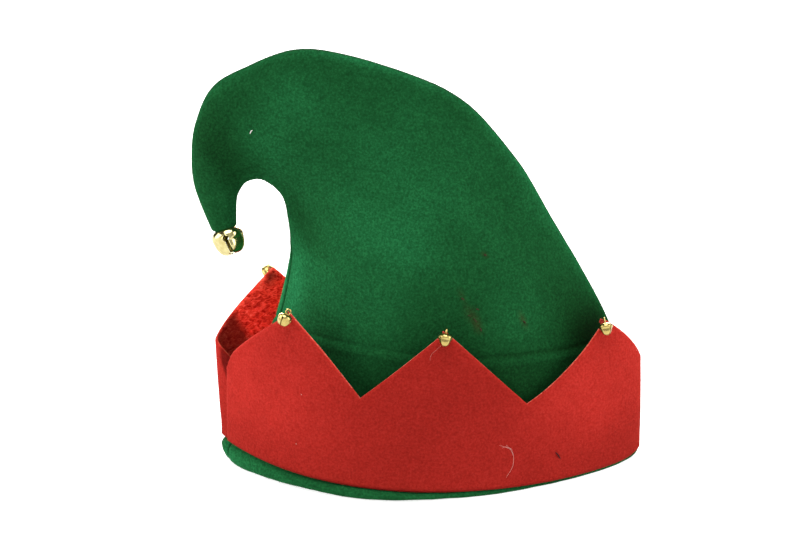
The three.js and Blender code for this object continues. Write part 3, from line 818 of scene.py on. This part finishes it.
def cuff_bell_places(diameter):
    """(turn, origin, peak point, along, outward) of each small bell, hung by its loop in front of a peak."""
    places = []
    up = np.array([0, 0, 1.0])
    stand_off, gap = 0.3 * diameter, 0.3
    centre = loop_centre(diameter, LOOP_RADIUS, LOOP_WIRE)
    pitch = -math.degrees(math.asin((diameter / 2 + gap - stand_off) / centre))
    for i, (panel, shift, drop, lean, turn, _) in enumerate(CUFF_BELLS):
        angle_run, run = panel_run(panel)
        angle = np.interp(ZIGZAG[panel][1 + 2 * (i % 3)][0], run, angle_run)
        top = np.array(band_top(angle, 1.0))
        face = band_point(np.array(angle), top, BAND_REACH)
        along = unit(band_point(np.array(angle + 0.01), top, BAND_REACH) - face)
        outward = np.cross(along, up)
        basis = np.stack([along, -outward, up], axis=1)
        pose = basis @ turned("Y", lean) @ turned("X", pitch) @ turned("Z", turn)
        origin = face + along * shift + outward * stand_off + up * (0.1 * diameter - drop)
        places.append((pose, origin - pose @ (0, 0, centre), face, along, outward))
    return places


# Materials


def linear(hex_colour):
    """An sRGB hex colour as a linear (r, g, b, 1)."""
    parts = [int(hex_colour[i : i + 2], 16) / 255 for i in (1, 3, 5)]
    return (*(c / 12.92 if c <= 0.04045 else ((c + 0.055) / 1.055) ** 2.4 for c in parts), 1.0)


def add(tree, kind, inputs=None, **settings):
    """Adds a node with its settings; inputs maps a socket to a value, to the output that feeds it, or to a
    node whose first output does."""
    made = tree.nodes.new("ShaderNode" + kind)
    for name, value in settings.items():
        setattr(made, name, value)
    for socket, value in (inputs or {}).items():
        if isinstance(value, bpy.types.Node):
            value = value.outputs[0]
        if isinstance(value, bpy.types.NodeSocket):
            tree.links.new(value, made.inputs[socket])
        else:
            made.inputs[socket].default_value = value
    return made


def new_material(name):
    """Empty node material and its tree."""
    material = bpy.data.materials.new(name)
    material.use_nodes = True
    material.node_tree.nodes.clear()
    return material, material.node_tree


def per_metre(size_mm):
    """Texture scale whose features are of a size in millimetres, for Object coordinates in metres."""
    return 1000.0 / size_mm


def felt_material(name, face, back, sheen, fluff, see_through, relief, shade_powers):
    """Needle-punched polyester felt, brushed on its face: matt, with short fibres that catch light at
    grazing angles, clumps a few millimetres wide and fine fibre grain. Real fibres are 0.02 mm thick;
    the grain is drawn 1.3 mm wide so that it shows. The back is unbrushed, an open web of fibres that lets
    light through. Face and back are three colours each, from the hollows up. The tone a panel carries is
    painted light and shade with some random tone; it darkens or lightens them, and its green and blue
    follow that by powers of their own."""
    material, tree = new_material(name)
    place = add(tree, "TexCoord").outputs["Object"]
    tone, unbrushed, caught = (
        add(tree, "Attribute", attribute_name=mark).outputs["Fac"] for mark in ("tone", "unbrushed", "fluff")
    )
    grain = add(tree, "TexNoise", {"Vector": place, "Scale": per_metre(1.3), "Detail": 2.0, "Roughness": 0.7})
    clumps = add(tree, "TexNoise", {"Vector": place, "Scale": per_metre(6.0), "Detail": 2.0})
    mixed = add(tree, "Mix", {"Factor": 0.14, 2: grain, 3: clumps})
    spread = add(tree, "MapRange", {"Value": mixed, "From Min": 0.32, "From Max": 0.68})
    drawn = add(tree, "Mapping", {"Vector": place, "Scale": (1.0, 1.0, 1.9), "Rotation": (0.0, 0.5, 0.0)})
    web_look = {"Scale": per_metre(4.2), "Detail": 4.0, "Roughness": 0.72, "Distortion": 1.2}
    web = add(tree, "TexNoise", {"Vector": drawn, **web_look})
    ramps = []
    for source, places, colours in ((spread, (0.0, 0.5, 1.0), face), (web, (0.34, 0.58, 0.74), back)):
        ramps.append(add(tree, "ValToRGB", {"Fac": source}))
        stops = ramps[-1].color_ramp.elements
        stops.new(0.5)
        for stop, spot, colour in zip(stops, places, colours):
            stop.position, stop.color = spot, colour
    faced = add(tree, "Mix", {"Factor": unbrushed, 6: ramps[0], 7: ramps[1]}, data_type="RGBA")
    fluffed = add(tree, "Mix", {"Factor": caught, 6: faced.outputs[2], 7: fluff}, data_type="RGBA")
    green, blue = (add(tree, "Math", {0: tone, 1: power}, operation="POWER") for power in shade_powers)
    shade = add(tree, "CombineColor", {"Red": tone, "Green": green, "Blue": blue})
    times = {"data_type": "RGBA", "blend_type": "MULTIPLY"}
    toned = add(tree, "Mix", {"Factor": 1.0, 6: fluffed.outputs[2], 7: shade}, **times)
    fine = add(tree, "Bump", {"Height": grain, "Strength": relief, "Distance": 0.0004})
    bumps = add(tree, "Bump", {"Height": clumps, "Strength": 0.25, "Distance": 0.0008, "Normal": fine})
    thin = add(tree, "MapRange", {"Value": unbrushed, "To Min": 0.15 * see_through, "To Max": see_through})
    surface = {
        "Base Color": toned.outputs[2],
        "Roughness": 0.95,
        "Specular IOR Level": 0.05,
        "Subsurface Weight": thin,
        "Subsurface Radius": (1.0, 0.35, 0.25),
        "Subsurface Scale": 0.005,
        "Sheen Weight": 0.4,
        "Sheen Roughness": 0.28,
        "Sheen Tint": sheen,
        "Normal": bumps,
    }
    add(tree, "OutputMaterial", {"Surface": add(tree, "BsdfPrincipled", surface)})
    return material


def plated_material(name, colour, dull, rough, dent):
    """Thin pale gold plating on pressed steel: bright and smooth, with shallow dimples from the press and
    faint dull patches from handling."""
    material, tree = new_material(name)
    place = add(tree, "TexCoord").outputs["Object"]
    handled = add(tree, "TexNoise", {"Vector": place, "Scale": per_metre(2.5), "Detail": 3.0})
    dimples = add(tree, "TexNoise", {"Vector": place, "Scale": per_metre(1.6), "Detail": 1.0})
    tone = add(tree, "Mix", {"Factor": handled, 6: colour, 7: dull}, data_type="RGBA")
    spread = {"From Min": 0.3, "From Max": 0.7, "To Min": rough, "To Max": 1.6 * rough}
    matt = add(tree, "MapRange", {"Value": handled, **spread})
    bump = add(tree, "Bump", {"Height": dimples, "Strength": 0.3, "Distance": dent})
    surface = {"Base Color": tone.outputs[2], "Metallic": 1.0, "Roughness": matt, "Normal": bump}
    add(tree, "OutputMaterial", {"Surface": add(tree, "BsdfPrincipled", surface)})
    return material


def thread_material(name, colour, light):
    """Spun polyester sewing thread: matt, in a close twist that shows as a change of tone every half
    millimetre."""
    material, tree = new_material(name)
    place = add(tree, "TexCoord").outputs["Object"]
    twist = add(tree, "TexNoise", {"Vector": place, "Scale": per_metre(0.5), "Detail": 1.0})
    tone = add(tree, "Mix", {"Factor": twist, 6: colour, 7: light}, data_type="RGBA")
    bump = add(tree, "Bump", {"Height": twist, "Strength": 0.4, "Distance": 0.0001})
    surface = {"Base Color": tone.outputs[2], "Roughness": 0.85, "Specular IOR Level": 0.15, "Normal": bump}
    add(tree, "OutputMaterial", {"Surface": add(tree, "BsdfPrincipled", surface)})
    return material


def floor_material(name, colour, glow):
    """Matt white acrylic lit a little from below, as on a light table: no shadow edge stays dark."""
    material, tree = new_material(name)
    light = {"Emission Color": (1, 1, 1, 1), "Emission Strength": glow}
    surface = add(tree, "BsdfPrincipled", {"Base Color": colour, "Roughness": 0.7, **light})
    add(tree, "OutputMaterial", {"Surface": surface})
    return material


def dress(piece, material, slot=None):
    """Gives a piece its material; with a slot it also hangs the piece on the hat's root body."""
    piece.data.materials.append(material)
    if slot:
        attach(piece, "root")
    return piece


def clad_panel(panel, felt, material, slot, outside, inside, marks):
    """One panel of the hat in felt: a closed wall between two grids of points, from the bottom row up, that
    stands for the frame's panel, and the nap on it. The inner faces of front and back meet at the seams."""
    kind, side = panel.split("_")
    outside = outside + SEAM_GAP * OUT_OF_SEAM[side]
    inside = inside - SEAM_MEET * OUT_OF_SEAM[side]
    points = np.stack([outside, inside])
    wall = new_mesh(f"felt_{panel}", points, wall_faces(*outside.shape[:2]), marks=marks)
    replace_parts(dress(wall, material, slot), panel)
    fibres, share, lie = NAPS[kind]
    count = int(fibres * felt.nap_share)
    length, width = felt.nap_length * share / MM, felt.nap_width / MM
    seed = SEEDS[side][f"{kind}_nap"]
    brushed = nap(f"nap_{panel}", outside, count, length, width, lie, seed, marks["tone"][0])
    return wall, dress(brushed, material, slot)


# Settings


def length_property(name, description, default):
    """A length setting with its default in metres."""
    return bpy.props.FloatProperty(name=name, description=description, default=default, unit="LENGTH")


def colour_property(name, description, default):
    """A linear colour setting whose default is an sRGB hex colour."""
    look = {"default": linear(default), "size": 4, "min": 0.0, "max": 1.0, "subtype": "COLOR"}
    return bpy.props.FloatVectorProperty(name=name, description=description, **look)


class ElfHatFelt(bpy.types.PropertyGroup):
    """Sizes of the felt."""

    thickness: length_property("Thickness", "Thickness of one layer of felt", 0.002)
    fold: length_property("Seam fold", "Radius of the fold along the crown's seams", 0.0016)
    cut: length_property("Cut edge", "Rounding of the band's cut edge", 0.0006)
    nap_length: length_property("Nap", "Mean length of the loose fibres", 0.0011)
    nap_width: length_property("Fibre", "Radius of a loose fibre at its root", 0.00004)
    nap_share: bpy.props.FloatProperty(
        name="Nap fill", description="Share of the loose fibres that is made", default=1.0, subtype="FACTOR"
    )


class ElfHatBells(bpy.types.PropertyGroup):
    """Sizes of the bells and the thread."""

    cuff_diameter: length_property("Band bells", "Diameter of the bells on the band", 0.008)
    tip_diameter: length_property(
        "Tip bell",
        "Diameter of the bell at the tip, as wide as the frame's",
        float(TIP_BELL_BOX[1][1] - TIP_BELL_BOX[0][1]),
    )
    thread: length_property("Thread", "Diameter of the sewing thread", 0.00045)


class ElfHatColours(bpy.types.PropertyGroup):
    """Colours of the hat."""

    green_deep: colour_property("Green, deep", "Hollows between the green fibres", "#0a3517")
    green: colour_property("Green", "Body of the green felt", "#0f4320")
    green_light: colour_property("Green, light", "Raised green fibres", "#175229")
    green_sheen: colour_property("Green sheen", "Green fibres at grazing light", "#2c7a45")
    red_deep: colour_property("Red, deep", "Hollows between the red fibres", "#881b14")
    red: colour_property("Red", "Body of the red felt", "#96211a")
    red_light: colour_property("Red, light", "Raised red fibres", "#a42721")
    red_back: colour_property("Red back", "Thin places of the unbrushed side", "#f4604e")
    red_back_fibre: colour_property("Red back, fibres", "Pale fibres of the unbrushed side", "#ff9c88")
    red_back_deep: colour_property("Red back, deep", "Thick places of the unbrushed side", "#a3160f")
    red_sheen: colour_property("Red sheen", "Red fibres at grazing light", "#c23a30")
    pale_gold: colour_property("Plating, pale", "Plating of the bell at the tip", "#cfc998")
    gold: colour_property("Plating", "Plating of the band's bells", "#d2bd76")
    gold_dull: colour_property("Plating, dull", "Handled patches of the plating", "#a08c4c")
    thread: colour_property("Thread", "Sewing thread of the bells", "#a02a26")
    thread_light: colour_property("Thread, light", "Raised strands of the thread", "#c8453a")
    lint_pale: colour_property("Pale lint", "Loose pale threads", "#b86a60")
    lint_pale_light: colour_property("Pale lint, light", "Raised strands of pale threads", "#dcb4a8")
    lint_white: colour_property("White lint", "Loose white fibres", "#e9e6df")
    lint_dark: colour_property("Dark lint", "Loose black fibres", "#1a0f10")
    fluff: colour_property("Red fluff", "Red felt's fluff rubbed into the green nap", "#4a1d14")
    caught: colour_property("Caught fluff", "Tufts of the fluff, caught in the green nap", "#38241a")
    floor: colour_property("Floor", "Floor that the hat stands on", "#a8a8a6")


# Operators


class ELFHAT_OT_crown(bpy.types.Operator):
    """Two felt panels of the crown, from the rolled rim to the hanging tip"""

    bl_idname = "elf_hat.crown"
    bl_label = "Felt Crown"

    def execute(self, context):
        felt, colours = context.scene.elf_hat_felt, context.scene.elf_hat_colours
        face = (colours.green_deep, colours.green, colours.green_light)
        look = {"see_through": 0.0, "relief": 0.4, "shade_powers": (1.0, 1.3)}
        tints = (colours.green_sheen, colours.fluff)
        green = felt_material("Brushed green polyester felt", face, face, *tints, **look)
        for side in ("front", "back"):
            outside, inside, tone, fluff = crown_panel(side, felt.thickness / MM, felt.fold / MM)
            # tone: the panel's painted light and shade, with random tone
            marks = {"tone": [tone, tone], "fluff": [fluff, 0 * fluff]}
            panel, fibres = clad_panel(f"crown_{side}", felt, green, "green_felt", outside, inside, marks)
        return {"FINISHED"}


class ELFHAT_OT_band(bpy.types.Operator):
    """Two red felt panels of the zigzag band, with cut edges"""

    bl_idname = "elf_hat.band"
    bl_label = "Zigzag Band"

    def execute(self, context):
        felt, colours = context.scene.elf_hat_felt, context.scene.elf_hat_colours
        face = (colours.red_deep, colours.red, colours.red_light)
        back = (colours.red_back_deep, colours.red_back, colours.red_back_fibre)
        look = {"see_through": 0.7, "relief": 0.5, "shade_powers": (1.35, 1.5)}
        tints = (colours.red_sheen, colours.red)
        red = felt_material("Brushed red polyester felt", face, back, *tints, **look)
        for side in ("front", "back"):
            outside, inside, tone = band_panel(side, felt.thickness / MM, felt.cut / MM)
            # tone: painted light and shade of each face, with random tone
            marks = {"tone": tone, "unbrushed": [0 * tone[0], np.ones_like(tone[1])]}
            panel, fibres = clad_panel(f"band_{side}", felt, red, "red_felt", outside, inside, marks)
        return {"FINISHED"}


def hang_bell(name, node, shape, pose, origin, material):
    """One bell turned and placed, standing for the frame's bell."""
    points, faces = shape
    bell = dress(new_mesh(name, points @ pose.T + origin, faces), material, "gold_bell")
    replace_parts(bell, node)


class ELFHAT_OT_bells(bpy.types.Operator):
    """Six small bells on the band's peaks and the larger one at the tip"""

    bl_idname = "elf_hat.bells"
    bl_label = "Jingle Bells"

    def execute(self, context):
        bells, colours = context.scene.elf_hat_bells, context.scene.elf_hat_colours
        handled = (colours.gold, colours.gold_dull)
        gold = plated_material("Gold plated steel, handled", *handled, rough=0.2, dent=0.0001)
        polished = (colours.pale_gold, colours.gold_dull)
        pale = plated_material("Pale gold plated steel, polished", *polished, rough=0.1, dent=0.00005)
        small = bells.cuff_diameter / MM
        make = {"wall": 0.4, "loop_radius": LOOP_RADIUS, "wire": LOOP_WIRE, "square": 0.78, "petals": 0.17}
        for i, (pose, origin, *_) in enumerate(cuff_bell_places(small)):
            slot = CUFF_BELLS[i][-1] / 2
            shape = jingle_bell(small, **make, across=12, slot=slot, hole=1.9 * slot)
            hang_bell(f"jingle_bell_{i + 1}", f"cuff_bell_{i + 1}", shape, pose, origin, gold)
        large = bells.tip_diameter / MM
        ends = CROWN_SECTIONS[-1, :4].reshape(2, 2) * (RIM_HALF_WIDTH, CROWN_HEIGHT)
        hollow = np.linalg.norm(ends[1] - ends[0]) / 2 - SEAM_WALL * 2.0
        make = {"wall": 0.7, "loop_radius": hollow - 0.3, "wire": 0.6, "square": 0.58, "petals": 0.12}
        shape = jingle_bell(large, **make, across=16, slot=0.05 * large, hole=0.095 * large)
        pose = turned("Y", -23) @ turned("X", -20) @ turned("Z", 2)
        middle = ends.mean(axis=0)
        origin = np.array([middle[0], 0, middle[1]]) + pose @ (0, 0, -0.25 * large)
        hang_bell("jingle_bell_tip", "tip_bell", shape, pose, origin, pale)
        return {"FINISHED"}


def bell_stitches(draw, radius, knot_row, hole, face, along, outward):
    """Points and triangles of one bell's thread: four strands from the felt through its loop, each a curve
    of the second degree, and a knot that is a trefoil."""
    up = np.array([0, 0, 1.0])
    aside = float((hole - face) @ along)
    t = np.linspace(0, 1, 12)[:, None]
    parts = []
    for _ in range(4):
        low = face + along * aside - outward * 0.2 - up * draw.uniform(1.3, 2.4)
        start, end = low - along * draw.uniform(0.5, 1.1), low + along * draw.uniform(0.5, 1.1)
        over = hole + outward * draw.uniform(0.1, 0.35) + up * draw.uniform(-0.5, 0.4)
        path = (1 - t) ** 2 * start + 2 * t * (1 - t) * (2 * over - (start + end) / 2) + t**2 * end
        parts.append(tube(path, radius, np.cross(over - start, end - start), 6))
    knot_aside, knot_up, knot_reach = knot_row
    knot = face + along * (aside + knot_aside) + up * knot_up + outward * 0.35
    turn = full_turn(40)[:, None]
    reach = knot_reach * (1 + 0.5 * np.cos(3 * turn))
    flat = along * (reach * np.cos(2 * turn)) + up * (reach * np.sin(2 * turn))
    path = knot + flat + outward * 0.3 * np.sin(3 * turn)
    parts.append(tube(path, 1.3 * radius, outward, 6, closed=True))
    return joined(parts)


class ELFHAT_OT_thread(bpy.types.Operator):
    """Red thread that sews each small bell to the band"""

    bl_idname = "elf_hat.thread"
    bl_label = "Sewing Thread"

    def execute(self, context):
        bells, colours = context.scene.elf_hat_bells, context.scene.elf_hat_colours
        cotton = thread_material("Spun red sewing thread", colours.thread, colours.thread_light)
        small, radius = bells.cuff_diameter / MM, bells.thread / MM / 2
        middle = (0, 0, loop_centre(small, LOOP_RADIUS, LOOP_WIRE))
        draw = np.random.default_rng(THREAD_SEED)
        for i, (pose, origin, *place) in enumerate(cuff_bell_places(small)):
            stitches = bell_stitches(draw, radius, KNOTS[i], origin + pose @ middle, *place)
            dress(new_mesh(f"bell_thread_{i + 1}", *stitches), cotton, "red_felt")
        return {"FINISHED"}


def stray_thread(draw, panel, radius, spots):
    """Points and triangles of one stray thread: a smooth curve through its spots, lifted off the panel by
    about its own radius and thinned to its ends."""
    host = bpy.data.objects[f"felt_{panel}"]
    path = []
    for spot in between(np.array(spots, float), np.linspace(0, len(spots) - 1, 5 * len(spots))):
        near = panel_point(panel, *spot)
        _, where, normal, _ = host.closest_point_on_mesh(Vector((near + ORIGIN) * MM))
        path.append(np.array(where) / MM - ORIGIN + np.array(normal) * radius * draw.uniform(0.8, 2.0))
    taper = radius * np.sin(np.linspace(0.35, math.pi - 0.35, len(path))) ** 0.4
    return tube(path, taper, normal, 6)


class ELFHAT_OT_lint(bpy.types.Operator):
    """Stray threads and specks caught on the felt"""

    bl_idname = "elf_hat.lint"
    bl_label = "Lint"

    def execute(self, context):
        colours = context.scene.elf_hat_colours
        looks = {
            "pale": ("Loose white cotton thread", colours.lint_pale, colours.lint_pale_light),
            "white": ("Loose white polyester fibre", colours.lint_white, colours.lint_white),
            "dark": ("Loose black polyester fibre", colours.lint_dark, colours.lint_dark),
            "red": ("Red felt fluff caught in the nap", colours.caught, colours.caught),
        }
        draw = np.random.default_rng(LINT_SEED)
        for kind, look in looks.items():
            rows = [row[1:] for row in LINT if row[0] == kind]
            threads = [stray_thread(draw, panel, radius, spots) for panel, radius, *spots in rows]
            dress(new_mesh(f"lint_{kind}", *joined(threads)), thread_material(*look), "red_felt")
        return {"FINISHED"}


# Soft rectangular lights: name, place and the height it faces above the origin in metres, width, height,
# power in watts. Cards are lights that show in the bells alone.
LIGHTS = [
    ("light_left", (-0.9, -0.15, 0.35), 0.05, 0.7, 0.6, 6.6),
    ("light_right", (0.9, -0.15, 0.35), 0.05, 0.7, 0.6, 6.0),
    ("light_front", (0.0, -2.4, 1.1), 0.1, 2.4, 1.4, 5.0),
    ("light_back", (-0.1, 1.0, 0.55), 0.1, 1.4, 0.7, 34),
    ("card_left", (-0.8, -0.9, 0.5), 0.1, 1.0, 1.0, 1.8),
    ("card_right", (0.8, -0.9, 0.5), 0.1, 1.0, 1.0, 1.8),
    ("card_top", (0.0, -0.9, 1.3), 0.1, 1.6, 1.0, 4.0),
]

# The overhead light's direction, spread in degrees and strength, and the sky's strength.
OVERHEAD = (0.0, -0.3, 1.0)
OVERHEAD_SPREAD = 50
OVERHEAD_STRENGTH = 3.2
SKY_STRENGTH = 0.1

# The camera: the point it faces and its distance in metres, its lens and sensor in millimetres, and its
# angles in degrees, round the hat, above the floor and of roll.
CAMERA_AIM = (-0.01182, 0, 0.11749)
CAMERA_DISTANCE = 1.2854
CAMERA_LENS = 101.59
CAMERA_SENSOR = 36.0
CAMERA_ANGLES = (-0.217, 19.452, -0.3055)

FLOOR_HALF_WIDTH = 8000.0  # millimetres


def placed(data, turn, place=(0, 0, 0)):
    """A light or camera put in the scene, turned and at a place in metres."""
    thing = bpy.data.objects.new(data.name, data)
    thing.location = place
    thing.rotation_euler = turn.to_euler()
    bpy.context.scene.collection.objects.link(thing)
    return thing


class ELFHAT_OT_stage(bpy.types.Operator):
    """Pale floor, soft lights and the camera at the photograph's angle"""

    bl_idname = "elf_hat.stage"
    bl_label = "Floor, Lights and Camera"

    def execute(self, context):
        scene = context.scene
        corners = np.array([(-1, -1, 0), (1, -1, 0), (1, 1, 0), (-1, 1, 0)]) * FLOOR_HALF_WIDTH
        floor = new_mesh("floor", corners - ORIGIN, [[0, 1, 2, 3]], smooth=False)
        grey = scene.elf_hat_colours.floor
        dress(floor, floor_material("White acrylic light table", grey, glow=0.85))

        scene.world = bpy.data.worlds.new("Studio")
        scene.world.use_nodes = True
        tree = scene.world.node_tree
        tree.nodes.clear()
        sky = add(tree, "Background", {"Color": (1, 1, 1, 1), "Strength": SKY_STRENGTH})
        add(tree, "OutputWorld", {"Surface": sky})
        data = bpy.data.lights.new("light_overhead", "SUN")
        data.energy, data.angle = OVERHEAD_STRENGTH, math.radians(OVERHEAD_SPREAD)
        placed(data, Vector(OVERHEAD).to_track_quat("Z", "Y"))
        for name, place, height_faced, width, height, power in LIGHTS:
            data = bpy.data.lights.new(name, "AREA")
            data.shape = "RECTANGLE"
            data.size, data.size_y, data.energy = width, height, power
            facing = Vector((0, 0, height_faced)) - Vector(place)
            lamp = placed(data, facing.to_track_quat("-Z", "Y"), place)
            lamp.visible_diffuse = not name.startswith("card")

        data = bpy.data.cameras.new("camera")
        data.sensor_width, data.lens = CAMERA_SENSOR, CAMERA_LENS
        azimuth, elevation, roll = (math.radians(angle) for angle in CAMERA_ANGLES)
        level = math.cos(elevation)
        back = Vector((math.sin(azimuth) * level, -math.cos(azimuth) * level, math.sin(elevation)))
        turn = back.to_track_quat("Z", "Y") @ Quaternion((0, 0, 1), roll)
        scene.camera = placed(data, turn, Vector(CAMERA_AIM) + back * CAMERA_DISTANCE)
        scene.view_settings.view_transform = "Standard"
        return {"FINISHED"}


class ELFHAT_PT_panel(bpy.types.Panel):
    """Lists the hat's pieces and settings"""

    bl_idname = "ELFHAT_PT_panel"
    bl_label = "Elf Hat"
    bl_space_type = "VIEW_3D"
    bl_region_type = "UI"
    bl_category = "Elf Hat"

    def draw(self, context):
        for group in ("elf_hat_felt", "elf_hat_bells", "elf_hat_colours"):
            settings = getattr(context.scene, group)
            box = self.layout.box()
            for name in settings.__annotations__:
                box.prop(settings, name)
        for operator in OPERATORS:
            self.layout.operator(operator.bl_idname)


GROUPS = {"elf_hat_felt": ElfHatFelt, "elf_hat_bells": ElfHatBells, "elf_hat_colours": ElfHatColours}
OPERATORS = (
    ELFHAT_OT_stage,
    ELFHAT_OT_crown,
    ELFHAT_OT_band,
    ELFHAT_OT_bells,
    ELFHAT_OT_thread,
    ELFHAT_OT_lint,
)
CLASSES = (*GROUPS.values(), *OPERATORS, ELFHAT_PT_panel)


def register():
    for kind in CLASSES:
        bpy.utils.register_class(kind)
    for name, group in GROUPS.items():
        setattr(bpy.types.Scene, name, bpy.props.PointerProperty(type=group))


def unregister():
    for name in GROUPS:
        delattr(bpy.types.Scene, name)
    for kind in reversed(CLASSES):
        bpy.utils.unregister_class(kind)


def main():
    """Builds everything in order."""
    register()
    bpy.ops.elf_hat.stage()
    bpy.ops.elf_hat.crown()
    bpy.ops.elf_hat.band()
    bpy.ops.elf_hat.bells()
    bpy.ops.elf_hat.thread()
    bpy.ops.elf_hat.lint()


if __name__ == "__main__":
    main()
